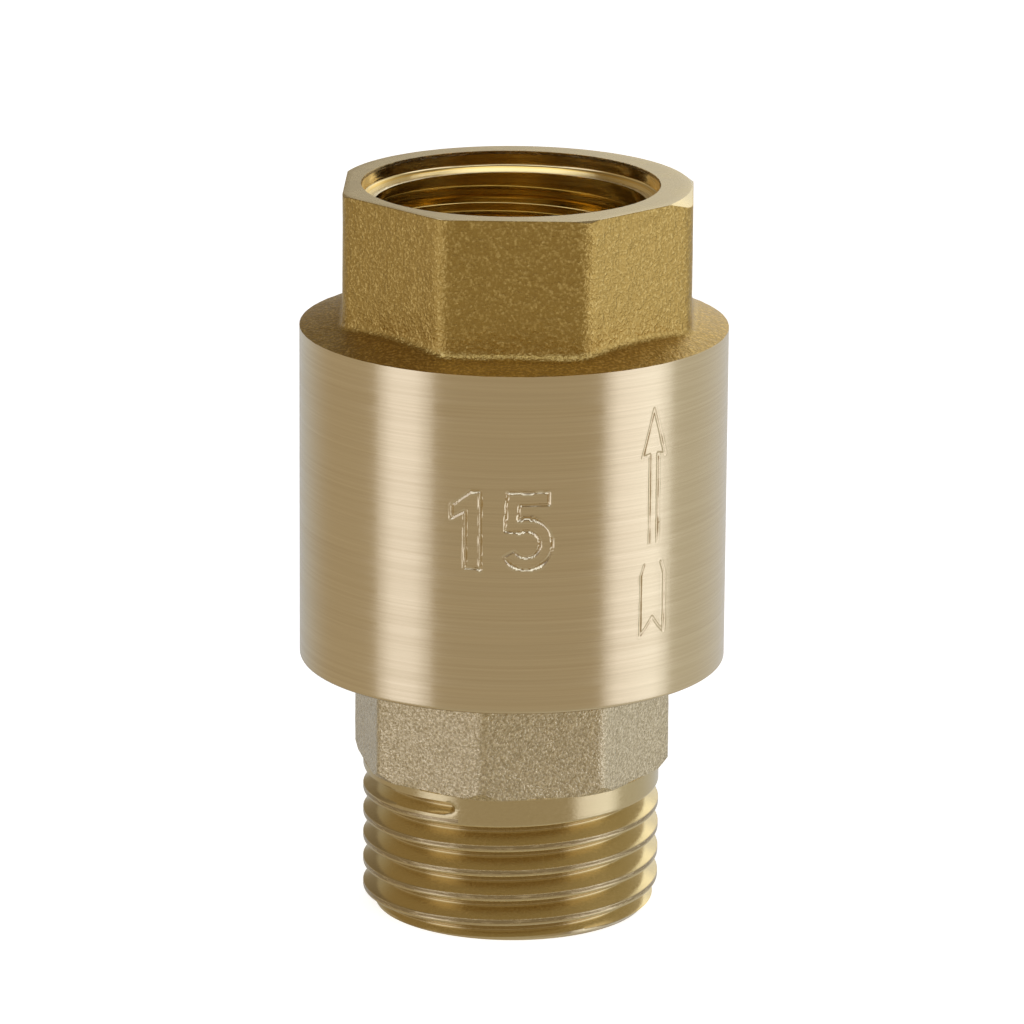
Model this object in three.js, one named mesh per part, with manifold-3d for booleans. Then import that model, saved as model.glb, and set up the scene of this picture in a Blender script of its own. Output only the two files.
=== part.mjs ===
// Inline spring check valve, G 1/2. A forged brass body has a female outlet. A male inlet connector screws
// into it and carries the seat, and a sprung poppet lifts off that seat along the axis.
// Millimetres. +Z runs with the flow, and the origin is the centre of the inlet end face.
import * as THREE from "three";
import { mergeVertices } from "three/addons/utils/BufferGeometryUtils.js";
import Module from "manifold-3d";

const wasm = await Module();
wasm.setup();

// ---- Driving dimensions: heights up the axis ----
const shankTop = 10.6; // the male thread and its plain shank end here, and the wrench flats start
const bodyBottom = 18.2;
const bodyTop = 42.15; // edge of the turned cylinder
const shoulderTop = 43.15; // where the sloping shoulder meets the outlet's wrench flats
const outletEnd = 52.2;

// ---- Driving dimensions: across the axis ----
const bodyRadius = 15;
const outletFlats = 24.2; // across flats
const inletFlats = 21;
const connectorTurn = THREE.MathUtils.degToRad(13.4); // how far round the connector stopped when screwed home
const outletCornerRadius = 1.1; // between two neighbouring flats
const inletCornerRadius = 0.6;
const edgeBreak = 0.3;

// ---- Threads: radii, pitch, half width of the flat at the groove's narrow side, slope of a flank ----
const whitworthSlope = Math.tan(THREE.MathUtils.degToRad(27.5));
const metricSlope = Math.tan(THREE.MathUtils.degToRad(30));
const pipeMale = { minor: 9.32, major: 10.48, pitch: 1.814, flat: 0.15, slope: whitworthSlope };
const pipeFemale = { minor: 9.54, major: 10.42, pitch: 1.814, flat: 0.15, slope: whitworthSlope };
const jointMale = { minor: 12.6, major: 13.45, pitch: 1.5, flat: 0.19, slope: metricSlope };
const jointFemale = { minor: 12.69, major: 13.62, pitch: 1.5, flat: 0.13, slope: metricSlope };
const cutOverrun = 0.14; // how far a thread cutter stands past the surface it cuts
// Each run starts on +X: the height of its groove's or crest's centre there, and how many turns it makes.
const inletGroove = { start: -2.44, turns: 6.68 };
const outletGroove = { start: 41.21, turns: 5.19 };
const jointCrest = { start: 17, turns: 4.2 };

// ---- Waterway, seat and chamber ----
const inletBore = 7;
const seatLip = { outer: 8.1, flat: 0.5, top: 25.2 };
const nose = { radius: 10.9, top: 24.3 };
const collarBottom = 18.5;
const collarTop = 23.2;
const bodyStep = 24.2; // the joint ring is held between the collar's top and this step
const mouth = { radius: 10.5, depth: 1.35 }; // smooth entry to the outlet thread
const outletRelief = { radius: 10.6, height: 0.7, rampHeight: 0.9 }; // behind the outlet thread
const jointRelief = { radius: 13.75, height: 1.1, rampHeight: 0.6 }; // behind the joint thread
const chamberRadius = 11.7;
const webBottom = 38.8;
const webTop = 40.6;
const portRadius = 7.5;

// ---- Poppet and its guide ----
const stemRadius = 2;
const boreRadius = 2.08; // every hole the stem passes through
const contactGap = 0.02; // between faces that bear on each other
const sideGap = 0.1; // round a ring that lies in its place
const sealTop = 27;
const sealRadius = 8.9;
const discRadius = 9.6;
const discSkirtBottom = 26.1;
const discTop = 28.6;
const spigotRadius = 4.3; // centres the spring on the disc, and on the guide
const spigotTop = 29.6;
const stemCollar = { radius: 3.1, top: 30.65 };
const stemBottom = 19.9;
const stemTop = 41.2;
const guideHubBottom = 35; // stops the stem's collar at 4.2 mm of lift, with a little to spare
const guideArm = { bottom: 37, width: 2 };
const guideRim = { inner: 9.4, height: 2.2 };
const guideBossRadius = 3.2;
const retainer = { radius: 6.2, thickness: 1.1 };
const nut = { flats: 7, thickness: 3.2, cornerRadius: 0.1 };
const spring = { wire: 0.3, coil: 4.8, endTurns: 1, activeTurns: 3.5 };

// ---- Fineness of the facets ----
const LARGE_STEPS = 48;
const SMALL_STEPS = 32;
const HELIX_STEPS = 24; // in each turn of a thread

// ================= Solids =================

// A three.js geometry as a manifold-3d solid: only positions, with shared vertices merged.
function solid(geometry) {
  const bare = geometry.clone();
  bare.deleteAttribute("normal");
  bare.deleteAttribute("uv");
  const merged = mergeVertices(bare, 1e-4);
  const index = merged.index.array;
  const kept = [];
  for (let i = 0; i < index.length; i += 3) {
    const [a, b, c] = index.slice(i, i + 3);
    if (a !== b && b !== c && a !== c) kept.push(a, b, c);
  }
  return new wasm.Manifold(
    new wasm.Mesh({
      numProp: 3,
      vertProperties: merged.attributes.position.array,
      triVerts: new Uint32Array(kept),
    }),
  );
}

// A turned solid about Z from a closed outline of [radius, height] points, in either direction.
function turned(outline, steps = LARGE_STEPS) {
  let area = 0;
  outline.forEach(([r, z], i) => {
    const [r2, z2] = outline[(i + 1) % outline.length];
    area += r * z2 - r2 * z;
  });
  const ordered = area > 0 ? outline : [...outline].reverse();
  const points = [...ordered, ordered[0]].map(([r, z]) => new THREE.Vector2(r, z));
  const lathe = new THREE.LatheGeometry(points, steps);
  lathe.rotateX(Math.PI / 2);
  return solid(lathe);
}

// A plain ring or cylinder between two radii.
function ring(inner, outer, bottom, top, steps = LARGE_STEPS) {
  return turned([[inner, bottom], [outer, bottom], [outer, top], [inner, top]], steps);
}

// An upright prism with equal sides and rounded corners, one flat facing -Y before it is turned.
function prism(sides, acrossFlats, cornerRadius, bottom, top, turn = 0) {
  const shape = new THREE.Shape();
  const step = (2 * Math.PI) / sides;
  const reach = (acrossFlats / 2 - cornerRadius) / Math.cos(step / 2); // of the corners' centres
  for (let i = 0; i < sides; i++) {
    const face = turn - Math.PI / 2 + step * i;
    const x = reach * Math.cos(face + step / 2);
    const y = reach * Math.sin(face + step / 2);
    shape.absarc(x, y, cornerRadius, face, face + step, false);
  }
  const options = { depth: top - bottom, bevelEnabled: false, curveSegments: 4 };
  return solid(new THREE.ExtrudeGeometry(shape, options).translate(0, 0, bottom));
}

// A bar of trapezoid section bent into a right-hand helix that starts on +X.
// inner and outer each hold a radius and the half width of the bar there.
function helicalBar(inner, outer, pitch, run) {
  const steps = Math.round(run.turns * HELIX_STEPS);
  const bar = new THREE.BoxGeometry(1, 1, 1, 1, 1, steps);
  const at = bar.attributes.position;
  for (let i = 0; i < at.count; i++) {
    const side = at.getX(i) < 0 ? inner : outer;
    const turn = (0.5 - at.getZ(i)) * run.turns;
    const angle = turn * 2 * Math.PI;
    const height = run.start + turn * pitch + Math.sign(at.getY(i)) * side.halfWidth;
    at.setXYZ(i, side.radius * Math.cos(angle), side.radius * Math.sin(angle), height);
  }
  return solid(bar);
}

// The groove of a male thread, to cut from a shaft of the major radius.
function shaftGroove({ minor, major, pitch, flat, slope }, run) {
  const outside = major + cutOverrun;
  return helicalBar(
    { radius: minor, halfWidth: flat },
    { radius: outside, halfWidth: flat + (outside - minor) * slope },
    pitch,
    run,
  );
}

// The groove of a female thread, to cut from the wall of a bore of the minor radius.
function boreGroove({ minor, major, pitch, flat, slope }, run) {
  const inside = minor - cutOverrun;
  return helicalBar(
    { radius: inside, halfWidth: flat + (major - inside) * slope },
    { radius: major, halfWidth: flat },
    pitch,
    run,
  );
}

// ================= Static pieces =================

// The bore through the body, from the joint thread at the bottom to the mouth at the top.
function bodyWaterway() {
  const entryTop = bodyBottom + edgeBreak;
  const jointReliefBottom = bodyStep - jointRelief.height;
  const outletReliefTop = webTop + outletRelief.height;
  const mouthFloor = outletEnd - mouth.depth;
  return turned([
    [0, bodyBottom - 1],
    [jointRelief.radius, bodyBottom - 1],
    [jointRelief.radius, entryTop],
    [jointFemale.minor, entryTop + jointRelief.radius - jointFemale.minor],
    [jointFemale.minor, jointReliefBottom - jointRelief.rampHeight],
    [jointRelief.radius, jointReliefBottom],
    [jointRelief.radius, bodyStep],
    [chamberRadius, bodyStep],
    [chamberRadius, webBottom],
    [portRadius, webBottom],
    [portRadius, webTop],
    [outletRelief.radius, webTop],
    [outletRelief.radius, outletReliefTop],
    [pipeFemale.minor, outletReliefTop + outletRelief.rampHeight],
    [pipeFemale.minor, mouthFloor],
    [mouth.radius, mouthFloor],
    [mouth.radius, outletEnd + 1],
    [0, outletEnd + 1],
  ]);
}

function valveBody() {
  const shoulderSlope = (shoulderTop - bodyTop) / (bodyRadius - outletFlats / 2);
  const coneInner = outletFlats / 2 - 1.5; // the shoulder's cone runs on inside the flats, up to here
  const coneTop = bodyTop + (bodyRadius - coneInner) * shoulderSlope;
  const cylinder = turned([
    [0, bodyBottom],
    [bodyRadius - edgeBreak, bodyBottom],
    [bodyRadius, bodyBottom + edgeBreak],
    [bodyRadius, bodyTop],
    [coneInner, coneTop],
    [0, coneTop],
  ]);
  const neck = prism(8, outletFlats, outletCornerRadius, bodyTop - 1, outletEnd);
  const bevelInner = outletFlats / 2 + edgeBreak; // the turned bevel reaches only the corners of the flats
  const outletCorners = turned([
    [0, bodyTop - 2],
    [bodyRadius, bodyTop - 2],
    [bodyRadius, outletEnd - bodyRadius + bevelInner],
    [bevelInner, outletEnd],
    [0, outletEnd],
  ]);
  return cylinder
    .add(neck.intersect(outletCorners))
    .subtract(bodyWaterway())
    .subtract(boreGroove(pipeFemale, outletGroove))
    .subtract(boreGroove(jointFemale, jointCrest));
}

function endConnector() {
  const leadIn = 0.86;
  const shank = turned([
    [0, 0],
    [pipeMale.major - leadIn, 0],
    [pipeMale.major, leadIn],
    [pipeMale.major, shankTop + 1],
    [0, shankTop + 1],
  ]);

  const flats = prism(8, inletFlats, inletCornerRadius, shankTop, collarBottom + 1, connectorTurn);
  const bevelInner = inletFlats / 2 + 0.35; // the bevel reaches only the corners of the flats
  const inletCorners = turned([
    [0, shankTop],
    [bevelInner, shankTop],
    [bevelInner + 1.2, shankTop + 1.56],
    [bevelInner + 1.2, collarBottom + 1],
    [0, collarBottom + 1],
  ]);

  const collarBevel = 0.6;
  const collar = turned([
    [0, collarBottom],
    [jointMale.minor, collarBottom],
    [jointMale.major, collarBottom + collarBevel],
    [jointMale.major, collarTop - collarBevel],
    [jointMale.minor, collarTop],
    [0, collarTop],
  ]);
  const collarGroove = { start: jointCrest.start - jointMale.pitch / 2, turns: jointCrest.turns + 1 };

  const lipSlope = (seatLip.outer - inletBore - seatLip.flat) / 2;
  const noseAndLip = turned([
    [0, collarTop - 1],
    [nose.radius, collarTop - 1],
    [nose.radius, nose.top - edgeBreak],
    [nose.radius - edgeBreak, nose.top],
    [seatLip.outer, nose.top],
    [seatLip.outer - lipSlope, seatLip.top],
    [0, seatLip.top],
  ]);

  const boreBevel = 0.3;
  const bore = turned([
    [0, -1],
    [inletBore + boreBevel + 1, -1],
    [inletBore, boreBevel],
    [inletBore, seatLip.top - lipSlope],
    [inletBore + lipSlope + 1, seatLip.top + 1],
    [0, seatLip.top + 1],
  ]);
  return shank
    .subtract(shaftGroove(pipeMale, inletGroove))
    .add(flats.intersect(inletCorners))
    .add(collar.subtract(shaftGroove(jointMale, collarGroove)))
    .add(noseAndLip)
    .subtract(bore);
}

function jointRing() {
  const outer = jointMale.minor - sideGap;
  return ring(nose.radius + sideGap, outer, collarTop + contactGap, bodyStep - contactGap);
}

// A spoked plastic spider: the spring holds its rim up against the web, and its hub guides the stem.
function stemGuide() {
  const rimOuter = chamberRadius - sideGap;
  const top = webBottom - contactGap;
  const rim = ring(guideRim.inner, rimOuter, top - guideRim.height, top);
  const hubOutline = [
    [0, guideHubBottom],
    [spigotRadius - edgeBreak, guideHubBottom],
    [spigotRadius, guideHubBottom + edgeBreak],
    [spigotRadius, top],
    [guideBossRadius, top],
    [guideBossRadius, webTop - edgeBreak],
    [guideBossRadius - edgeBreak, webTop],
    [0, webTop],
  ];
  let spider = rim.add(turned(hubOutline, SMALL_STEPS));
  const reach = (guideRim.inner + rimOuter) / 2;
  for (let i = 0; i < 3; i++) {
    const arm = new THREE.BoxGeometry(reach, guideArm.width, top - guideArm.bottom);
    arm.translate(reach / 2, 0, (top + guideArm.bottom) / 2);
    arm.rotateZ(Math.PI / 2 + (i * 2 * Math.PI) / 3);
    spider = spider.add(solid(arm));
  }
  return spider.subtract(ring(0, boreRadius, guideHubBottom - 1, webTop + 1, SMALL_STEPS));
}

// ================= Moving pieces =================

function poppetStem() {
  const tip = 0.5;
  const collarBevel = 0.2;
  const outline = [
    [0, stemBottom],
    [stemRadius - tip, stemBottom],
    [stemRadius, stemBottom + tip],
    [stemRadius, spigotTop + contactGap],
    [stemCollar.radius, spigotTop + contactGap],
    [stemCollar.radius, stemCollar.top - collarBevel],
    [stemCollar.radius - collarBevel, stemCollar.top],
    [stemRadius, stemCollar.top],
    [stemRadius, stemTop - tip],
    [stemRadius - tip, stemTop],
    [0, stemTop],
  ];
  return turned(outline, SMALL_STEPS);
}

// A brass cup: the seal sits in its underside, and the spring on its top.
function poppetDisc() {
  const recess = sealRadius + sideGap / 2;
  const bevel = 0.7;
  const outline = [
    [boreRadius, sealTop + contactGap],
    [recess, sealTop + contactGap],
    [recess, discSkirtBottom],
    [discRadius, discSkirtBottom],
    [discRadius, discTop - bevel],
    [discRadius - bevel, discTop],
    [spigotRadius, discTop],
    [spigotRadius, spigotTop - edgeBreak],
    [spigotRadius - edgeBreak, spigotTop],
    [boreRadius, spigotTop],
  ];
  return turned(outline);
}

function seatSeal() {
  return ring(boreRadius, sealRadius, seatLip.top + contactGap, sealTop);
}

function sealRetainer() {
  return ring(boreRadius, retainer.radius, seatLip.top - retainer.thickness, seatLip.top);
}

function retainerNut() {
  const top = seatLip.top - retainer.thickness - contactGap;
  const bottom = top - nut.thickness;
  const corner = nut.flats / 2 / Math.cos(Math.PI / 6);
  const bevelled = [
    [0, bottom],
    [nut.flats / 2, bottom],
    [corner, bottom + edgeBreak],
    [corner, top - edgeBreak],
    [nut.flats / 2, top],
    [0, top],
  ];
  return prism(6, nut.flats, nut.cornerRadius, bottom, top)
    .intersect(turned(bevelled))
    .subtract(ring(0, boreRadius, bottom - 1, top + 1, SMALL_STEPS));
}

// A compression spring: one closed turn lies flat at each end, and the open turns between share the rise.
class CoilPath extends THREE.Curve {
  getPoint(t, target = new THREE.Vector3()) {
    const { wire, coil, endTurns, activeTurns } = spring;
    const bottom = discTop + contactGap + wire;
    const top = guideArm.bottom - contactGap - wire;
    const closedRise = 2 * wire + contactGap;
    const openRise = top - bottom - 2 * closedRise;
    const turn = t * (2 * endTurns + activeTurns);
    const low = Math.min(turn, endTurns);
    const middle = THREE.MathUtils.clamp(turn - endTurns, 0, activeTurns);
    const high = Math.max(turn - endTurns - activeTurns, 0);
    const rise = ((low + high) / endTurns) * closedRise + (middle / activeTurns) * openRise;
    const angle = turn * 2 * Math.PI;
    return target.set(coil * Math.cos(angle), coil * Math.sin(angle), bottom + rise);
  }
}

function returnSpring() {
  const section = new THREE.Shape().absarc(0, 0, spring.wire, 0, 2 * Math.PI, false);
  const turns = 2 * spring.endTurns + spring.activeTurns;
  return solid(new THREE.ExtrudeGeometry(section, {
    extrudePath: new CoilPath(),
    steps: turns * 20,
    curveSegments: 4,
    bevelEnabled: false,
  }));
}

// ================= Materials and assembly =================

function material(color, roughness, metalness) {
  return new THREE.MeshStandardMaterial({ color, roughness, metalness });
}

const forgedBrass = material(0xb8974a, 0.45, 1);
const connectorBrass = material(0xb5a27a, 0.5, 1);
const turnedBrass = material(0xc9a85c, 0.25, 1);
const stainless = material(0xb9bcc0, 0.3, 1);
const acetal = material(0xe9e7df, 0.5, 0);
const ptfe = material(0xf4f4f1, 0.6, 0);
const nitrile = material(0x17181a, 0.7, 0);

function piece(name, made, look) {
  const { vertProperties, triVerts } = made.getMesh();
  const geometry = new THREE.BufferGeometry();
  geometry.setAttribute("position", new THREE.BufferAttribute(vertProperties, 3));
  geometry.setIndex(new THREE.BufferAttribute(triVerts, 1));
  geometry.computeVertexNormals();
  const mesh = new THREE.Mesh(geometry, look);
  mesh.name = name;
  return mesh;
}

const housing = new THREE.Group();
housing.add(
  piece("valve_body", valveBody(), forgedBrass),
  piece("end_connector", endConnector(), connectorBrass),
  piece("joint_ring", jointRing(), ptfe),
  piece("stem_guide", stemGuide(), acetal),
);

const poppet = new THREE.Group();
poppet.add(
  piece("poppet_stem", poppetStem(), turnedBrass),
  piece("poppet_disc", poppetDisc(), turnedBrass),
  piece("seat_seal", seatSeal(), nitrile),
  piece("seal_retainer", sealRetainer(), stainless),
  piece("retainer_nut", retainerNut(), turnedBrass),
);

const valve = new THREE.Group();
valve.add(housing, poppet, piece("return_spring", returnSpring(), stainless));

export default valve;
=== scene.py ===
"""Looks of an inline spring check valve: forged brass body, screwed-in inlet connector, sprung poppet.

Meshes are made in millimetres round the valve's axis and scaled to metres when they become objects.
"""

import math

import bpy
import numpy as np
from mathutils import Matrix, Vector, noise


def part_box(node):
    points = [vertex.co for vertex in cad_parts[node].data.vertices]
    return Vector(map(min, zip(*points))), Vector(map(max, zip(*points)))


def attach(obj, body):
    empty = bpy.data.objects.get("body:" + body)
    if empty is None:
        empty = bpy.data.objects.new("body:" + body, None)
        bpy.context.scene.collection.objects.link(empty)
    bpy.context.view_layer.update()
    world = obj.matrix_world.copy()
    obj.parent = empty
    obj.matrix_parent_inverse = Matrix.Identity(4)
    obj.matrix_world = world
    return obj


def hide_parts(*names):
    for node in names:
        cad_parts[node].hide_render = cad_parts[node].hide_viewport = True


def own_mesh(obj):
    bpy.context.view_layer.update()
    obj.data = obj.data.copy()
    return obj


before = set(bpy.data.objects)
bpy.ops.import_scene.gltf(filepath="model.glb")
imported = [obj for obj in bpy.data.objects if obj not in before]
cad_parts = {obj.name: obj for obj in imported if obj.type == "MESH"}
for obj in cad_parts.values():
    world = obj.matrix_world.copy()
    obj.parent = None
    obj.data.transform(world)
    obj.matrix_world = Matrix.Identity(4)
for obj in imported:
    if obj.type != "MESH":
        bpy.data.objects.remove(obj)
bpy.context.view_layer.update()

MM = 0.001
TURN = 2 * math.pi
SHARP_ANGLE = math.radians(32)

# The half-inch pipe thread, 14 to the inch
PIPE_PITCH = 1.814

# Tangents of the threads' half angles: a flank's run along the axis over its depth
INCH_FLANK = math.tan(math.radians(27.5))
METRIC_FLANK = math.tan(math.radians(30))

# ---- Outside of the body ----
BODY_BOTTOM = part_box("valve_body")[0].z / MM
BODY_RADIUS = 15.0
BODY_TOP = 42.15
OUTLET_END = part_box("valve_body")[1].z / MM
OUTLET_APOTHEM = 12.1
OUTLET_CORNER = 1.9
SHOULDER_SLOPE = 0.31
FRONT_FACE = math.radians(-90)

# ---- Outside of the connector ----
SHANK_TOP = 10.6
INLET_APOTHEM = 10.5
INLET_CORNER = 1.0
CONNECTOR_TURN = math.radians(13.4)
COLLAR_BOTTOM = 18.5
COLLAR_TOP = 23.2

# ---- How far the forging and the mouth sit off the axis ----
NECK_SHIFT = (0.28, 0.45)
MOUTH_SHIFT = (-0.29, 0.0)
ROUND = (0.0, 0.0)


# ================= Outlines and skins =================


def clamp(x):
    return min(max(x, 0), 1)


def between(a, b, t):
    """A number or a pair of numbers part of the way from a to b."""
    if isinstance(a, tuple):
        return tuple(between(*pair, t) for pair in zip(a, b))
    return a + (b - a) * t


class Outline:
    """One column of a skin: up the outside, over the top, down the inside and out along the bottom."""

    def __init__(self, angle):
        self.angle = angle
        self.finish = "plain"
        self.shift = ROUND
        self.rows = []

    def to(self, key, r, z):
        self.rows.append((key, r, z, self.finish, self.shift))

    def line(self, key, r1, z1, r2, z2, steps):
        for i in range(steps + 1):
            t = i / steps
            self.to((key, i), between(r1, r2, t), between(z1, z2, t))

    def arc(self, key, r, z, radius, start, end, steps):
        for i in range(steps + 1):
            a = math.radians(between(start, end, i / steps))
            self.to((key, i), r + radius * math.cos(a), z + radius * math.sin(a))

    def thread(self, key, form, low, high, upward, limit=None):
        """Rows that follow a right-hand thread between two heights, so that its edges stay crisp."""
        turn = self.angle / TURN
        clear = 0.03
        first = math.floor((low - form.crest) / form.pitch - turn) - 1
        last = math.ceil((high - form.crest) / form.pitch - turn) + 1
        found = []
        for m in range(first, last + 1):
            centre = form.crest + (m + turn) * form.pitch
            for k, d in enumerate(form.knots):
                if low + clear < centre + d < high - clear:
                    look = form.finish_at(d, centre)
                    found.append(((key, m, k), form.radius(d, centre), centre + d, look))
        for name, r, z, look in found if upward else reversed(found):
            self.finish = look
            self.to(name, limit(r, z) if limit else r, z)


class ThreadForm:
    """A thread's section: how far it falls from the crest at each distance along the axis."""

    SOFTEN = 0.03
    FADE_HEIGHT = 0.3
    FADE = 0.45

    def __init__(self, crest, pitch, crest_radius, depth, crest_flat, flank, knots, ends, look="thread"):
        """crest is the height of a crest at angle 0. knots are the distances from it at which rows stand,
        and ends are the lowest and the highest open groove and the length over which they close."""
        self.crest = crest
        self.pitch = pitch
        self.crest_radius = crest_radius
        self.depth = depth
        self.crest_flat = crest_flat
        self.flank = flank
        self.knots = [-k for k in reversed(knots[1:])] + knots[:-1] + [knots[-1] - 1e-4]
        self.ends = ends
        self.look = look

    def finish_at(self, d, centre):
        """Name of the finish at a distance above a crest."""
        return self.look

    def fall(self, d):
        """Depth under the crest at a distance from it, with softened edges."""
        deepest = abs(self.depth)
        steps = (-1, -0.5, 0, 0.5, 1)
        near = [(abs(d) + o * self.SOFTEN - self.crest_flat) / self.flank for o in steps]
        return sum(min(max(t, 0), deepest) for t in near) / len(near)

    def radius(self, d, centre):
        """Radius at a distance from a crest. The groove grows shallower towards its end, then stops."""
        half = math.copysign(self.pitch / 2, d)
        groove = centre + half
        low, high, taper = self.ends
        open_share = clamp((high - groove) / taper) * clamp((groove - low) / taper)
        fading = clamp((groove - high) / self.FADE_HEIGHT + 1)
        lift = self.fall(half) * (1 - open_share * (1 - self.FADE * fading))
        return self.crest_radius + math.copysign(max(self.fall(d) - lift, 0), self.depth)

    def radius_at(self, z, angle):
        """Radius at a height: on a crest, or in an open groove."""
        turn = angle / TURN
        m = round((z - self.crest) / self.pitch - turn)
        centre = self.crest + (m + turn) * self.pitch
        return self.radius(z - centre, centre)


class PipeForm(ThreadForm):
    """A pipe thread as a worn die cuts it: sharp above the crest, rounded below it, and a round root."""

    HIGH_ROUND = 0.03
    LOW_ROUND = 0.2
    ROOT_ROUND = 0.08
    SEAM_DEPTH = 0.015
    SEAM_WIDTH = 0.05
    WORN_AND_SHADED_LOW = -0.1
    WORN_AND_SHADED_HIGH = 0.16

    # The crest band below the groove's end takes the dark crest brass: partly its wear, partly painted
    # shade and painted glints.
    def finish_at(self, d, centre):
        below_groove = centre + self.pitch / 2 < self.ends[1]
        return "crest" if below_groove and self.WORN_AND_SHADED_LOW < d < self.WORN_AND_SHADED_HIGH else "thread"

    def fall(self, d):
        e = abs(d)
        slope = 1 / self.flank
        lean = math.atan(slope)
        edge = self.LOW_ROUND if d < 0 else self.HIGH_ROUND
        start = self.crest_flat - edge * math.tan(lean / 2)
        end = start + edge * math.sin(lean)
        bottom = self.pitch / 2 - self.ROOT_ROUND * math.sin(lean)
        seam = self.SEAM_DEPTH * math.exp(-((d / self.SEAM_WIDTH) ** 2))
        if e <= start:
            return seam
        if e <= end:
            return seam + edge - math.sqrt(edge**2 - (e - start) ** 2)
        if e <= bottom:
            return (e - self.crest_flat) * slope
        deepest = (bottom - self.crest_flat) * slope + self.ROOT_ROUND * (1 - math.cos(lean))
        return deepest - self.ROOT_ROUND + math.sqrt(self.ROOT_ROUND**2 - (self.pitch / 2 - e) ** 2)


def octagon_radius(angle, apothem, corner, turn):
    """Distance from the axis to an octagon with rounded corners, at one angle."""
    half = math.pi / 8
    off = abs((angle - FRONT_FACE - turn + half) % (2 * half) - half)
    reach = (apothem - corner) / math.cos(half)
    flat_end = math.atan2((apothem - corner) * math.tan(half), apothem)
    if off <= flat_end:
        return apothem / math.cos(off)
    b = half - off
    return reach * math.cos(b) + math.sqrt(corner**2 - (reach * math.sin(b)) ** 2)


def polygon_angles(sides, apothem, corner, turn, flat_steps, corner_steps):
    """Column angles that follow a polygon: even steps along each flat and round each corner."""
    half = math.pi / sides
    reach = apothem - corner
    angles = []
    for side in range(sides):
        face = FRONT_FACE + turn + side * 2 * half
        edge = reach * math.tan(half)
        for i in range(flat_steps):
            angles.append(face + math.atan2(edge * (2 * i / flat_steps - 1), apothem))
        for i in range(corner_steps):
            b = 2 * half * i / corner_steps
            x = reach + corner * math.cos(b)
            y = edge + corner * math.sin(b)
            angles.append(face + math.atan2(y, x))
    return angles


def round_angles(steps):
    """Even column angles for a turned piece."""
    return [FRONT_FACE + TURN * i / steps for i in range(steps)]


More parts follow.
